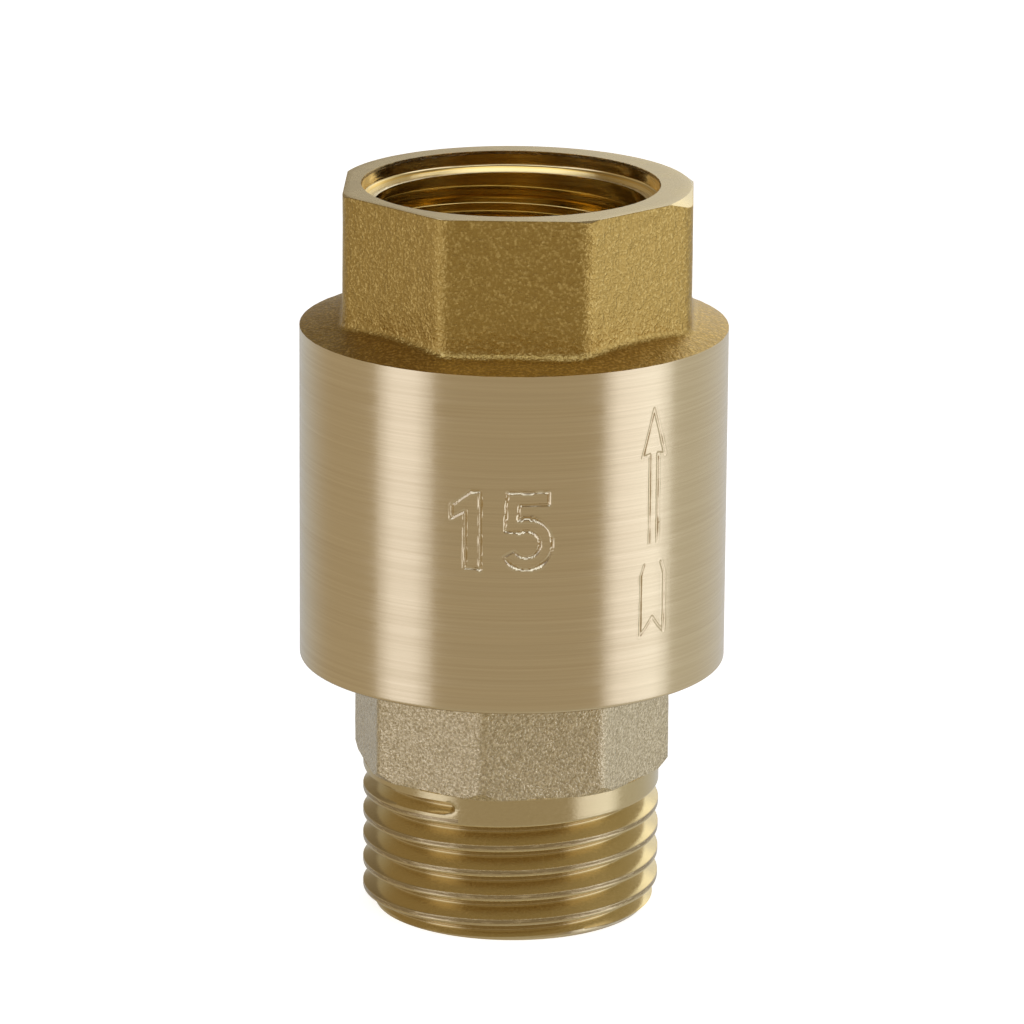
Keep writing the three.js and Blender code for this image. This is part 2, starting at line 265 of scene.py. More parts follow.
class Skin:
    """A closed mesh from outlines drawn at successive angles. Neighbouring outlines meet row by row."""

    def __init__(self, angles, draw):
        self.points = []
        self.faces = []
        self.finishes = []
        self.face_finish = []
        self.splits = {}
        self.fine = set()
        self.columns = [self.column(angle, draw) for angle in angles]

    def column(self, angle, draw):
        outline = Outline(angle)
        draw(outline)
        rows = []
        for key, r, z, finish, shift in outline.rows:
            if r < 1e-9:
                index = self.pole(z)
            else:
                x, y = shift
                self.points.append((r * math.cos(angle) + x, r * math.sin(angle) + y, z))
                index = len(self.points) - 1
            rows.append((key, index, finish))
        closed = outline.rows[0][1] > 1e-9
        if closed:
            rows.append((("close",), rows[0][1], rows[0][2]))
        return rows

    def pole(self, z):
        for i, p in enumerate(self.points):
            if p == (0.0, 0.0, z):
                return i
        self.points.append((0.0, 0.0, z))
        return len(self.points) - 1

    def close(self, cell=None):
        """Makes the faces. cell(left, right, i) may take over a four-sided face, and then returns True."""
        count = len(self.columns)
        for i in range(count):
            left = self.columns[i]
            right = self.columns[(i + 1) % count]
            if i == count - 1:
                right = [(self.one_turn_on(key), index, finish) for key, index, finish in right]
            self.join(left, right, i, cell)

    @staticmethod
    def one_turn_on(key):
        return (key[0], key[1] - 1, key[2]) if len(key) == 3 else key

    def join(self, left, right, i, cell):
        in_left = {row[0] for row in left}
        in_right = {row[0] for row in right}
        a = b = 0
        while a < len(left) - 1 or b < len(right) - 1:
            next_left = left[a + 1][0] if a + 1 < len(left) else None
            next_right = right[b + 1][0] if b + 1 < len(right) else None
            if next_left == next_right:
                if not (cell and cell(self, left[a : a + 2], right[b : b + 2], i)):
                    self.face([left[a][1], right[b][1], right[b + 1][1], left[a + 1][1]], left[a][2])
                a += 1
                b += 1
            elif next_left is not None and next_left not in in_right:
                self.face([left[a][1], right[b][1], left[a + 1][1]], left[a][2])
                a += 1
            elif next_right is not None and next_right not in in_left:
                self.face([left[a][1], right[b][1], right[b + 1][1]], right[b][2])
                b += 1
            else:
                raise ValueError(f"rows {next_left} and {next_right} cross at column {i}")

    def face(self, corners, finish):
        kept = [c for n, c in enumerate(corners) if c != corners[n - 1]]
        if len(kept) > 2:
            if finish not in self.finishes:
                self.finishes.append(finish)
            self.faces.append(kept)
            self.face_finish.append(self.finishes.index(finish))

    def edge(self, a, b, steps):
        """Points that split the edge from a to b, shared by the faces on both sides."""
        low, high = min(a, b), max(a, b)
        if (low, high) not in self.splits:
            made = []
            for i in range(1, steps):
                self.points.append(self.point_between(low, high, i / steps))
                made.append(len(self.points) - 1)
            self.splits[(low, high)] = made
        made = self.splits[(low, high)]
        return made if a == low else made[::-1]

    def point_between(self, a, b, t):
        """A point between two others, kept at their distance from the axis."""
        p = np.array(self.points[a])
        q = np.array(self.points[b])
        m = p + (q - p) * t
        r = np.hypot(p[0], p[1]) * (1 - t) + np.hypot(q[0], q[1]) * t
        m[:2] *= r / np.hypot(m[0], m[1])
        return tuple(m)

    def refine(self, left, right, steps):
        """Splits one four-sided face into a grid of small ones."""
        a, b, c, d = left[0][1], right[0][1], right[1][1], left[1][1]
        bottom = [a] + self.edge(a, b, steps) + [b]
        top = [d] + self.edge(d, c, steps) + [c]
        side_left = [a] + self.edge(a, d, steps) + [d]
        side_right = [b] + self.edge(b, c, steps) + [c]
        grid = [bottom]
        for j in range(1, steps):
            row = [side_left[j]]
            for i in range(1, steps):
                self.points.append(self.point_between(side_left[j], side_right[j], i / steps))
                row.append(len(self.points) - 1)
            grid.append(row + [side_right[j]])
        grid.append(top)
        for j in range(steps):
            for i in range(steps):
                corners = [grid[j][i], grid[j][i + 1], grid[j + 1][i + 1], grid[j + 1][i]]
                self.face(corners, left[0][2])
        self.fine.update(p for row in grid for p in row)

    def with_split_edges(self):
        """Faces next to a refined one take in the points of the edge they share with it."""
        whole = []
        for face in self.faces:
            corners = []
            for n, a in enumerate(face):
                b = face[(n + 1) % len(face)]
                corners.append(a)
                if (min(a, b), max(a, b)) in self.splits:
                    corners += self.edge(a, b, 0)
            whole.append(corners)
        return whole

    def mesh(self, name):
        made = bpy.data.meshes.new(name)
        points = np.array(self.points) * MM
        made.from_pydata(points.tolist(), [], self.with_split_edges())
        made.polygons.foreach_set("material_index", self.face_finish)
        made.update()
        return made


def placed(name, data):
    """A new object in the scene."""
    made = bpy.data.objects.new(name, data)
    bpy.context.scene.collection.objects.link(made)
    return made


def add_piece(name, mesh, finishes, looks, body, node):
    """Shows a mesh for a CAD node. looks names the material of each finish."""
    for finish in finishes:
        mesh.materials.append(looks[finish])
    mesh.shade_smooth()
    mesh.set_sharp_from_angle(angle=SHARP_ANGLE)
    piece = placed(name, mesh)
    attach(piece, body)
    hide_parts(node)
    return piece


def weigh_normals(piece):
    """Large faces keep their own direction next to the narrow ones that round an edge."""
    weighted = piece.modifiers.new("weighted", "WEIGHTED_NORMAL")
    weighted.mode = "FACE_AREA"
    weighted.keep_sharp = True


def skin_piece(name, angles, draw, looks, body, node):
    """A piece made of one closed skin."""
    skin = Skin(angles, draw)
    skin.close()
    return add_piece(name, skin.mesh(name), skin.finishes, looks, body, node)


def waviness(angle, z, size, seed):
    """Smooth unevenness of a forged or cast face, between -1 and 1."""
    p = Vector((math.cos(angle) * 12 / size, math.sin(angle) * 12 / size, z / size + seed))
    return noise.noise(p)


# ================= Marks on the cylinder =================

STROKE_DEPTH = 0.085
STROKE_HALF_WIDTH = 0.11
BURR_HEIGHT = 0.022
BURR_WIDTH = 0.045
ARROW_SHARE = 0.5
MARK_STEPS = 6


def arc_points(x, z, radius, start, end, steps):
    """Points along an arc, angles in degrees."""
    points = []
    for i in range(steps + 1):
        a = math.radians(between(start, end, i / steps))
        points.append((x + radius * math.cos(a), z + radius * math.sin(a)))
    return points


def numeral_one():
    """A plain 1 round its own middle: across and up, in millimetres."""
    return [
        (0.9, -2.6), (-0.1, -2.6), (-0.1, 1.3), (-1.0, 0.75), (-1.0, 1.6),
        (0.25, 2.6), (0.9, 2.6), (0.9, -2.6),
    ]


def numeral_five():
    """A plain 5, its bowl made of two arcs."""
    bowl_outside = arc_points(0, -0.88, 1.72, 107, -150, 22)
    bowl_inside = arc_points(0, -0.88, 0.9, -150, 118, 20)
    bar = [(-0.52, 0.75), (-0.45, 1.75), (1.45, 1.75), (1.45, 2.6), (-1.25, 2.6), (-1.42, -0.02)]
    return bar + bowl_inside[::-1] + bowl_outside[::-1] + bar[:1]


def flow_arrow():
    """An upright arrow in two open lines: the head with its shaft, and the tail."""
    head = [
        (-0.35, -1.4), (-0.35, 4.9), (-1.0, 4.75), (0, 8.1), (1.0, 4.75), (0.35, 4.9), (0.35, -1.4),
    ]
    tail = [
        (-0.75, -2.9), (-1.05, -3.7), (-1.05, -7.9), (-0.55, -7.4), (0, -6.7),
        (0.55, -7.4), (1.05, -7.9), (1.05, -3.7), (0.75, -2.9),
    ]
    return [head, tail]


class Marks:
    """Stamped lines on the cylinder: a plain number, which is the nominal bore, and a flow arrow."""

    def __init__(self):
        number = math.radians(-90.7)
        arrow = math.radians(-48.6)
        number_height = 31.3
        arrow_height = 31.0
        self.strokes = []
        self.add(numeral_one(), number, -2.6, number_height, 1.05)
        self.add(numeral_five(), number, 1.5, number_height, 1.05)
        for line in flow_arrow():
            self.add(line, arrow, 0, arrow_height, 1.0)
        self.segments = np.array(self.strokes)
        self.divide = (number + arrow) / 2 * BODY_RADIUS

    def add(self, line, angle, across, up, scale):
        centre = angle * BODY_RADIUS + across
        points = [(centre + x * scale, up + z * scale) for x, z in line]
        for (x1, z1), (x2, z2) in zip(points, points[1:]):
            self.strokes.append((x1, z1, x2, z2))

    def distance(self, points):
        """Distance from points on the unrolled cylinder to the nearest stroke."""
        s = self.segments
        start = s[:, :2]
        run = s[:, 2:] - start
        away = points[:, None, :] - start[None]
        t = np.clip((away * run).sum(2) / (run * run).sum(1), 0, 1)
        gap = away - t[..., None] * run
        return np.sqrt((gap**2).sum(2)).min(1)

    def unroll(self, points):
        angle = np.arctan2(points[:, 1], points[:, 0])
        return np.stack([angle * BODY_RADIUS, points[:, 2]], 1)

    def touches(self, centre, reach):
        return self.distance(self.unroll(np.array([centre])))[0] < reach

    def depth(self, points):
        """How far each point moves inwards: a round-bottomed groove with a low burr along both sides."""
        flat = self.unroll(points)
        d = self.distance(flat)
        uneven = np.array([noise.noise(Vector((x * 1.1, z * 1.1, 3))) for x, z in flat])
        width = STROKE_HALF_WIDTH * (1 + 0.35 * uneven)
        groove = np.clip(1 - (d / width) ** 2, 0, 1) ** 1.3 * STROKE_DEPTH * (1 + 0.6 * uneven)
        burr = np.exp(-(((d - width * 1.45) / BURR_WIDTH) ** 2)) * BURR_HEIGHT * (1 + uneven)
        share = np.where(flat[:, 0] > self.divide, ARROW_SHARE, 1.0)
        return (groove - burr) * share


# ================= The body =================

OUTLET_FORM = ThreadForm(
    crest=50.93 - PIPE_PITCH * (70 / 360 + 0.5),
    pitch=PIPE_PITCH,
    crest_radius=9.54,
    depth=0.84,
    crest_flat=0.3,
    flank=INCH_FLANK,
    knots=[0, 0.15, 0.24, 0.275, 0.3, 0.33, 0.37, 0.5, 0.64, 0.73, 0.77, 0.82, 0.907],
    ends=(42.4, 50.3, 0.05),
    look="inner_thread",
)
BODY_JOINT_FORM = ThreadForm(
    crest=16.25,
    pitch=1.5,
    crest_radius=12.69,
    depth=0.9,
    crest_flat=0.09,
    flank=METRIC_FLANK,
    knots=[0, 0.09, 0.2, 0.4, 0.62, 0.75],
    ends=(15, 23.6, 0.05),
)
FOOT_ROUND = 0.26
SIDE_ROWS = 52
NECK_ROWS = 16

# The front flat's lower edge hangs a little lower than the others
FRONT_DIP = 0.45
FRONT_DIP_WIDTH = 0.36

# A turned cone cuts the neck's corners under the rim
RIM_RADIUS = 12.25
RIM_CENTRE = (0.0, -0.2)
RIM_BEVEL = 0.75
SHARP_BEVEL = 0.06

MOUTH_RADIUS = 10.44
MOUTH_FLOOR = OUTLET_END - 1.35
LEDGE_RISE = 0.24
THREAD_LOW = 42.2
RELIEF_RADIUS = 10.6
WEB_TOP = 40.6
WEB_BOTTOM = 38.8
PORT_RADIUS = 7.5
CHAMBER_RADIUS = 11.7
BODY_STEP = 24.2
JOINT_RELIEF = 13.75
JOINT_TOP = 22.5
INNER_ROUND = 0.15


def body_side(o):
    """The turned cylinder, from its lower edge, which is dark with painted shade, to its slightly ragged
    upper one.
    """
    low = BODY_BOTTOM + FOOT_ROUND
    # Painted shade: the lower edge takes the dark crest brass.
    o.finish = "crest"
    o.arc("foot", BODY_RADIUS - FOOT_ROUND, low, FOOT_ROUND, -90, -42, 3)
    o.finish = "turned"
    o.arc("toe", BODY_RADIUS - FOOT_ROUND, low, FOOT_ROUND, -38, -8, 3)
    o.line("side", BODY_RADIUS, low, BODY_RADIUS, BODY_TOP - 0.03, SIDE_ROWS)
    o.finish = "shoulder"
    ragged = 0.02 * waviness(o.angle, 0, 0.8, 12)
    o.to(("brow", 0), BODY_RADIUS, BODY_TOP - 0.01 + min(ragged, 0.01))


def body_shoulder(o):
    """The sloping forged shoulder and the fillet that turns up into the octagon."""
    wall = octagon_radius(o.angle, OUTLET_APOTHEM, OUTLET_CORNER, 0)
    fillet = 0.6 + 0.2 * waviness(o.angle, 0, 7, 2)
    off_front = (o.angle - FRONT_FACE + math.pi) % TURN - math.pi
    dip = FRONT_DIP * math.exp(-((off_front / FRONT_DIP_WIDTH) ** 4))
    lean = math.atan(SHOULDER_SLOPE)
    centre_r = wall + fillet
    centre_z = BODY_TOP + (BODY_RADIUS - centre_r) * SHOULDER_SLOPE + fillet / math.cos(lean) - dip
    start_r = centre_r - fillet * math.sin(lean)
    start_z = centre_z - fillet * math.cos(lean)
    for i in range(1, 6):
        t = i / 6
        rough = 0.03 * waviness(o.angle, t * 2, 1.3, 5) * math.sin(math.pi * t)
        o.shift = between(ROUND, NECK_SHIFT, t)
        o.to(("shoulder", i), between(BODY_RADIUS, start_r, t), between(BODY_TOP, start_z, t) + rough)
    o.shift = NECK_SHIFT
    o.finish = "forged"
    start = -90 - math.degrees(lean)
    o.arc("fillet", centre_r, centre_z, fillet, start, between(start, -180, 7 / 8), 7)
    return wall, centre_z


def body_neck(o):
    """The forged wrench flats of the outlet. Returns the radius at which the rim begins."""
    wall, low = body_shoulder(o)
    x = NECK_SHIFT[0] - RIM_CENTRE[0]
    y = NECK_SHIFT[1] - RIM_CENTRE[1]
    off_axis = math.hypot(wall * math.cos(o.angle) + x, wall * math.sin(o.angle) + y)
    bevel = max(off_axis - RIM_RADIUS, SHARP_BEVEL)
    high = OUTLET_END - max(bevel * RIM_BEVEL, SHARP_BEVEL)
    for i in range(NECK_ROWS + 1):
        t = i / NECK_ROWS
        z = between(low, high, t)
        dent = 0.035 * waviness(o.angle, z, 2.6, 1) + 0.012 * waviness(o.angle, z, 0.7, 9)
        o.to(("neck", i), wall + dent * (1 - t**6), z)
    o.finish = "rim"
    o.to(("bevel", 0), wall - 0.04, high + 0.03)
    o.to(("bevel", 1), wall - bevel + 0.02, OUTLET_END - 0.01)
    return wall - bevel


def body_mouth(o):
    """The faced rim with a ragged inner edge, the smooth counterbore and its sloping floor."""
    outer = body_neck(o)
    ragged = 0.045 * noise.noise(Vector((math.cos(o.angle) * 55, math.sin(o.angle) * 55, 0)))
    inner = MOUTH_RADIUS - 0.02 + ragged
    o.finish = "rim"
    for i in range(1, 7):
        t = i / 6
        o.shift = between(NECK_SHIFT, MOUTH_SHIFT, t)
        o.to(("rim", i), between(outer, inner, t), OUTLET_END)
    # Painted shade: the lip under the rim takes the dark crest brass.
    o.finish = "crest"
    o.to(("lip", 0), inner + 0.01, OUTLET_END - 0.05)
    o.to(("lip", 1), MOUTH_RADIUS, OUTLET_END - 0.11 - 2 * abs(ragged))
    o.finish = "bore"
    round_in = 0.16
    start = MOUTH_RADIUS - round_in
    low = MOUTH_FLOOR + LEDGE_RISE + round_in
    o.line("counterbore", MOUTH_RADIUS, OUTLET_END - 0.25, MOUTH_RADIUS, low, 5)
    o.arc("corner", start, low, round_in, -15, -72, 4)
    o.finish = "ledge"
    end = OUTLET_FORM.radius_at(MOUTH_FLOOR, o.angle)
    for i in range(1, 4):
        t = i / 4
        o.to(("ledge", i), between(start, end, t), MOUTH_FLOOR + LEDGE_RISE * (1 - t))


def body_bore(o):
    """Outlet thread, web with its port, chamber and joint thread, from the top down."""
    o.finish = "inner_thread"
    o.to(("thread_top", 0), OUTLET_FORM.radius_at(MOUTH_FLOOR, o.angle) - 0.01, MOUTH_FLOOR - 0.015)
    o.thread("outlet", OUTLET_FORM, THREAD_LOW, MOUTH_FLOOR - 0.02, upward=False)
    o.finish = "bore"
    o.to(("relief", 0), OUTLET_FORM.crest_radius, THREAD_LOW)
    o.shift = ROUND
    corner = INNER_ROUND
    o.line("relief_ramp", 9.7, THREAD_LOW - 0.02, RELIEF_RADIUS, 41.3, 3)
    o.to(("relief", 1), RELIEF_RADIUS, WEB_TOP + corner)
    o.arc("relief_corner", RELIEF_RADIUS - corner, WEB_TOP + corner, corner, -20, -90, 3)
    o.line("web_top", RELIEF_RADIUS - 0.4, WEB_TOP, PORT_RADIUS + 0.2, WEB_TOP, 3)
    o.arc("port_top", PORT_RADIUS + corner, WEB_TOP - corner, corner, 95, 180, 3)
    o.line("port", PORT_RADIUS, WEB_TOP - 0.4, PORT_RADIUS, WEB_BOTTOM + 0.4, 2)
    o.arc("port_bottom", PORT_RADIUS + corner, WEB_BOTTOM + corner, corner, 180, 265, 3)
    o.line("web_bottom", PORT_RADIUS + 0.5, WEB_BOTTOM, CHAMBER_RADIUS - 0.2, WEB_BOTTOM, 3)
    o.arc("chamber_corner", CHAMBER_RADIUS - corner, WEB_BOTTOM - corner, corner, 85, 0, 3)
    o.line("chamber", CHAMBER_RADIUS, WEB_BOTTOM - 0.4, CHAMBER_RADIUS, BODY_STEP + 0.3, 8)
    o.arc("step_edge", CHAMBER_RADIUS + 0.1, BODY_STEP + 0.1, 0.1, 180, 262, 2)
    o.line("step", CHAMBER_RADIUS + 0.3, BODY_STEP, JOINT_RELIEF - 0.25, BODY_STEP, 2)
    o.arc("step_corner", JOINT_RELIEF - corner, BODY_STEP - corner, corner, 85, 0, 2)
    o.line("joint_relief", JOINT_RELIEF, BODY_STEP - 0.3, JOINT_RELIEF, JOINT_TOP + 0.7, 2)
    o.line("joint_ramp", JOINT_RELIEF - 0.15, JOINT_TOP + 0.55, 12.75, JOINT_TOP + 0.06, 2)
    o.finish = "thread"
    o.to(("joint_top", 0), BODY_JOINT_FORM.crest_radius, JOINT_TOP)
    o.thread("joint", BODY_JOINT_FORM, 19.5, JOINT_TOP - 0.02, upward=False)
    o.finish = "bore"
    o.line("entry", 12.72, 19.46, 13.72, BODY_BOTTOM + 0.33, 3)
    o.to(("entry_edge", 0), 13.8, BODY_BOTTOM)
    o.to(("entry_edge", 1), 14.3, BODY_BOTTOM)


def draw_body(o):
    """One column of the body, all the way round its section."""
    body_side(o)
    body_mouth(o)
    body_bore(o)


def build_body(looks):
    """The body's skin, with small faces where the marks are stamped."""
    skin = Skin(polygon_angles(8, OUTLET_APOTHEM, OUTLET_CORNER, 0, 26, 6), draw_body)
    marks = Marks()
    half_cell = 0.36
    reach = half_cell + STROKE_HALF_WIDTH + 0.14

    def cell(skin, left, right, i):
        if left[0][0][0] != "side" or left[1][0][0] != "side":
            return False
        low = np.array(skin.points[left[0][1]])
        high = np.array(skin.points[right[1][1]])
        if not marks.touches((low + high) / 2, reach):
            return False
        skin.refine(left, right, MARK_STEPS)
        return True

    skin.close(cell)
    fine = sorted(skin.fine)
    points = np.array([skin.points[i] for i in fine])
    for i, p, d in zip(fine, points, marks.depth(points)):
        p[:2] *= 1 - d / BODY_RADIUS
        skin.points[i] = tuple(p)
    name = "valve_body_skin"
    mesh = skin.mesh(name)
    weigh_normals(add_piece(name, mesh, skin.finishes, looks, "housing", "valve_body"))


# ================= The inlet connector =================

INLET_FORM = PipeForm(
    crest=0.218,
    pitch=PIPE_PITCH,
    crest_radius=10.5,
    depth=-1.16,
    crest_flat=0.22,
    flank=INCH_FLANK,
    knots=[0, 0.06, 0.11, 0.15, 0.19, 0.205, 0.23, 0.253, 0.277, 0.4, 0.55, 0.7, 0.8, 0.84, 0.875, 0.907],
    ends=(-5, 9.64, 0.012),
)
COLLAR_FORM = ThreadForm(
    crest=17.0,
    pitch=1.5,
    crest_radius=13.45,
    depth=-0.85,
    crest_flat=0.19,
    flank=METRIC_FLANK,
    knots=[0, 0.19, 0.3, 0.5, 0.68, 0.75],
    ends=(10, 30, 0.05),
)

LEAD_IN_RADIUS = 9.62
FLAT_ROWS = 13
COLLAR_BEVEL = 22.6
NOSE_TOP = 24.3
BORE_RADIUS = 7.0


def connector_thread(o):
    """The male pipe thread with its lead-in, up to the underside of the flats."""

    def lead_in(r, z):
        return min(r, LEAD_IN_RADIUS + z)

    high = SHANK_TOP - 0.03
    o.finish = "thread"
    o.to(("foot", 0), lead_in(INLET_FORM.radius_at(0, o.angle), 0), 0)
    o.thread("inlet", INLET_FORM, 0, high, upward=True, limit=lead_in)
    o.to(("shank", 0), INLET_FORM.radius_at(high, o.angle), high)


def connector_flats(o):
    """The cast wrench flats, with the turned bevel under their corners."""
    wall = octagon_radius(o.angle, INLET_APOTHEM, INLET_CORNER, CONNECTOR_TURN)
    inner = INLET_APOTHEM + 0.35
    low = SHANK_TOP + max((wall - inner) * 1.3, 0.08)
    o.finish = "rim"
    o.to(("under", 0), 10.52, SHANK_TOP)
    o.finish = "cast"
    o.to(("under", 1), min(wall - 0.05, inner), SHANK_TOP + 0.01)
    o.to(("under", 2), wall - 0.03, low - 0.03)
    for i in range(FLAT_ROWS + 1):
        z = between(low, COLLAR_BOTTOM, i / FLAT_ROWS)
        dent = 0.03 * waviness(o.angle, z, 2.2, 20) + 0.012 * waviness(o.angle, z, 0.7, 30)
        o.to(("flats", i), wall + dent, z)


def connector_collar(o):
    """The joint thread, the nose and the seat lip, which the body hides."""
    o.finish = "bore"
    o.line("collar_under", 11.8, COLLAR_BOTTOM, 12.6, COLLAR_BOTTOM, 1)
    o.line("collar_bevel", 12.75, COLLAR_BOTTOM + 0.1, 13.4, COLLAR_BOTTOM + 0.55, 2)
    o.finish = "thread"

    def bevelled(r, z):
        return min(r, COLLAR_FORM.crest_radius - max(z - COLLAR_BEVEL, 0))

    o.thread("collar", COLLAR_FORM, COLLAR_BOTTOM + 0.6, COLLAR_TOP - 0.1, upward=True, limit=bevelled)
    o.finish = "bore"
    o.to(("collar_top", 0), 12.6, COLLAR_TOP)
    o.line("collar_face", 12.3, COLLAR_TOP, 11.1, COLLAR_TOP, 2)
    o.arc("nose_root", 11.0, COLLAR_TOP + 0.1, 0.1, 275, 180, 2)
    o.line("nose", 10.9, COLLAR_TOP + 0.2, 10.9, NOSE_TOP - 0.3, 2)
    o.line("nose_edge", 10.85, NOSE_TOP - 0.23, 10.65, NOSE_TOP - 0.02, 2)
    o.line("nose_face", 10.5, NOSE_TOP, 8.2, NOSE_TOP, 3)
    o.to(("lip_root", 0), 8.08, NOSE_TOP + 0.04)
    o.line("lip_outside", 8.04, 24.5, 7.86, 25.0, 2)
    o.arc("lip_crown_out", 7.7, 25.06, 0.14, 20, 90, 3)
    o.arc("lip_crown_in", 7.4, 25.06, 0.14, 90, 160, 3)


def connector_bore(o):
    """The bore, from the seat lip down to the inlet's end face."""
    o.finish = "bore"
    o.to(("seat_edge", 0), BORE_RADIUS + 0.02, NOSE_TOP + 0.5)
    o.line("bore", BORE_RADIUS, NOSE_TOP + 0.3, BORE_RADIUS, 0.5, 14)
    o.line("bore_bevel", BORE_RADIUS + 0.04, 0.26, BORE_RADIUS + 0.26, 0.04, 2)
    o.finish = "rim"
    o.to(("end_face", 0), BORE_RADIUS + 0.34, 0)
    o.to(("end_face", 1), 8.3, 0)


def draw_connector(o):
    connector_thread(o)
    connector_flats(o)
    connector_collar(o)
    connector_bore(o)


def build_connector(looks):
    angles = polygon_angles(8, INLET_APOTHEM, INLET_CORNER, CONNECTOR_TURN, 30, 6)
    weigh_normals(skin_piece(
        "inlet_connector", angles, draw_connector, looks, "housing", "end_connector"
    ))


# ================= Pieces inside =================

STEM_HOLE = 2.08
STEM_RADIUS = 2.0
GUIDE_TOP = WEB_BOTTOM - 0.02
HUB_BOTTOM = 35.0
HUB_TOP = 40.6
SPRING_SEAT = 37.0
DISC_TOP = 28.6
WIRE_RADIUS = 0.3
SPRING_TURNS = 5.5


def rounded(points, radius, steps=3):
    """An outline with each corner rounded. Points are [r, z], or [r, z, own radius]."""
    made = []
    count = len(points)
    for i in range(count):
        here = Vector(points[i][:2])
        own = points[i][2] if len(points[i]) > 2 else radius
        back = Vector(points[i - 1][:2]) - here
        on = Vector(points[(i + 1) % count][:2]) - here
        if own <= 0 or here.x < 1e-9:
            made.append(tuple(here))
            continue
        turn = back.angle(on)
        cut = min(own / math.tan(turn / 2), back.length * 0.45, on.length * 0.45)
        a = here + back.normalized() * cut
        b = here + on.normalized() * cut
        for k in range(steps + 1):
            t = k / steps
            made.append(tuple(a * (1 - t) ** 2 + here * 2 * t * (1 - t) + b * t * t))
    return made


def turned(points, radius):
    """Draws a turned piece from an outline that runs up the outside and down the inside."""
    outline = rounded(points, radius)

    def draw(o):
        for i, (r, z) in enumerate(outline):
            o.to(("row", i), r, z)

    return draw


def lathe(name, points, steps, looks, body, node, radius=0.1):
    """A turned piece with rounded corners."""
    skin_piece(name, round_angles(steps), turned(points, radius), looks, body, node)


def build_joint_ring(looks):
    low, high = COLLAR_TOP + 0.02, BODY_STEP - 0.02
    points = [[12.5, low], [12.5, high], [11.0, high], [11.0, low]]
    lathe("joint_ring_washer", points, 128, looks, "housing", "joint_ring", 0.12)


def build_stem(looks):
    """The guide stem, with its collar and the screwed end that the nut holds."""
    form = ThreadForm(
        crest=20.1, pitch=0.7, crest_radius=STEM_RADIUS, depth=-0.3, crest_flat=0.09,
        flank=METRIC_FLANK, knots=[0, 0.09, 0.2, 0.3, 0.35], ends=(15, 24.2, 0.04),
    )

    def draw(o):
        o.finish = "plain"
        o.to(("pole", 0), 0, 19.9)
        o.line("tip", 0.7, 19.9, 1.45, 19.9, 2)
        o.to(("tip_bevel", 0), 1.7, 20.1)
        o.finish = "thread"
        o.thread("screw", form, 20.2, 24.5, upward=True, limit=lambda r, z: min(r, z - 18.42))
        o.finish = "plain"
        o.line("shank", STEM_RADIUS, 24.55, STEM_RADIUS, 29.5, 4)
        o.line("collar_under", 2.1, 29.62, 2.95, 29.62, 2)
        o.arc("collar_low", 2.98, 29.74, 0.12, -80, 0, 2)
        o.line("collar", 3.1, 29.9, 3.1, 30.4, 2)
        o.arc("collar_high", 2.9, 30.45, 0.2, 5, 90, 4)
        o.line("collar_face", 2.7, 30.65, 2.15, 30.65, 2)
        o.arc("root", 2.12, 30.77, 0.12, 265, 180, 2)
        o.line("rod", STEM_RADIUS, 31.0, STEM_RADIUS, 40.6, 16)
        o.line("rod_bevel", STEM_RADIUS - 0.03, 40.72, 1.55, 41.14, 3)
        o.to(("rod_end", 0), 1.4, 41.2)
        o.to(("rod_end", 1), 0.6, 41.2)
        o.to(("rod_pole", 0), 0, 41.2)

    skin_piece("guide_stem", round_angles(72), draw, looks, "poppet", "poppet_stem")


def build_disc(looks):
    """The disc, with a boss above for the spring and a recess below for the seal."""
    points = [
        [9.6, 26.1, 0.12], [9.6, DISC_TOP, 0.8], [4.3, DISC_TOP, 0.15], [4.3, 29.6, 0.3],
        [STEM_HOLE, 29.6], [STEM_HOLE, 27.02], [8.95, 27.02, 0.06], [8.95, 26.1],
    ]
    lathe("check_disc", points, 160, looks, "poppet", "poppet_disc")


def build_seal(looks):
    points = [[8.9, 25.22, 0.25], [8.9, 27.0, 0.15], [STEM_HOLE, 27.0], [STEM_HOLE, 25.22]]
    lathe("seat_seal_washer", points, 160, looks, "poppet", "seat_seal", 0.12)


def build_retainer(looks):
    points = [[6.2, 24.1, 0.25], [6.2, 25.2, 0.12], [STEM_HOLE, 25.2], [STEM_HOLE, 24.1]]
    lathe("seal_retainer_washer", points, 128, looks, "poppet", "seal_retainer", 0.1)


def build_nut(looks):
    """The hexagon nut, bevelled at both ends."""
    apothem, bottom, top = 3.5, 20.88, 24.08

    def draw(o):
        half = math.pi / 6
        off = abs((o.angle - FRONT_FACE + half) % (2 * half) - half)
        wall = min(apothem / math.cos(off), apothem / math.cos(half) - 0.03)
        bevel = max((wall - apothem) * 0.55, 0.04)
        o.finish = "plain"
        o.to(("foot", 0), apothem - 0.1, bottom)
        o.to(("bevel", 0), wall - 0.02, bottom + bevel)
        o.line("flats", wall, bottom + bevel + 0.03, wall, top - bevel - 0.03, 4)
        o.to(("bevel", 1), wall - 0.02, top - bevel)
        o.to(("head", 0), apothem - 0.1, top)
        o.to(("head", 1), 2.5, top)
        o.line("hole", STEM_HOLE + 0.01, top - 0.3, STEM_HOLE + 0.01, bottom + 0.3, 3)
        o.to(("foot", 1), 2.5, bottom)

    angles = polygon_angles(6, apothem, 0.1, 0, 12, 4)
    skin_piece("retainer_lock_nut", angles, draw, looks, "poppet", "retainer_nut")


def part_of_guide(name, points, steps):
    skin = Skin(round_angles(steps), turned(points, 0.1))
    skin.close()
    return placed(name, skin.mesh(name))


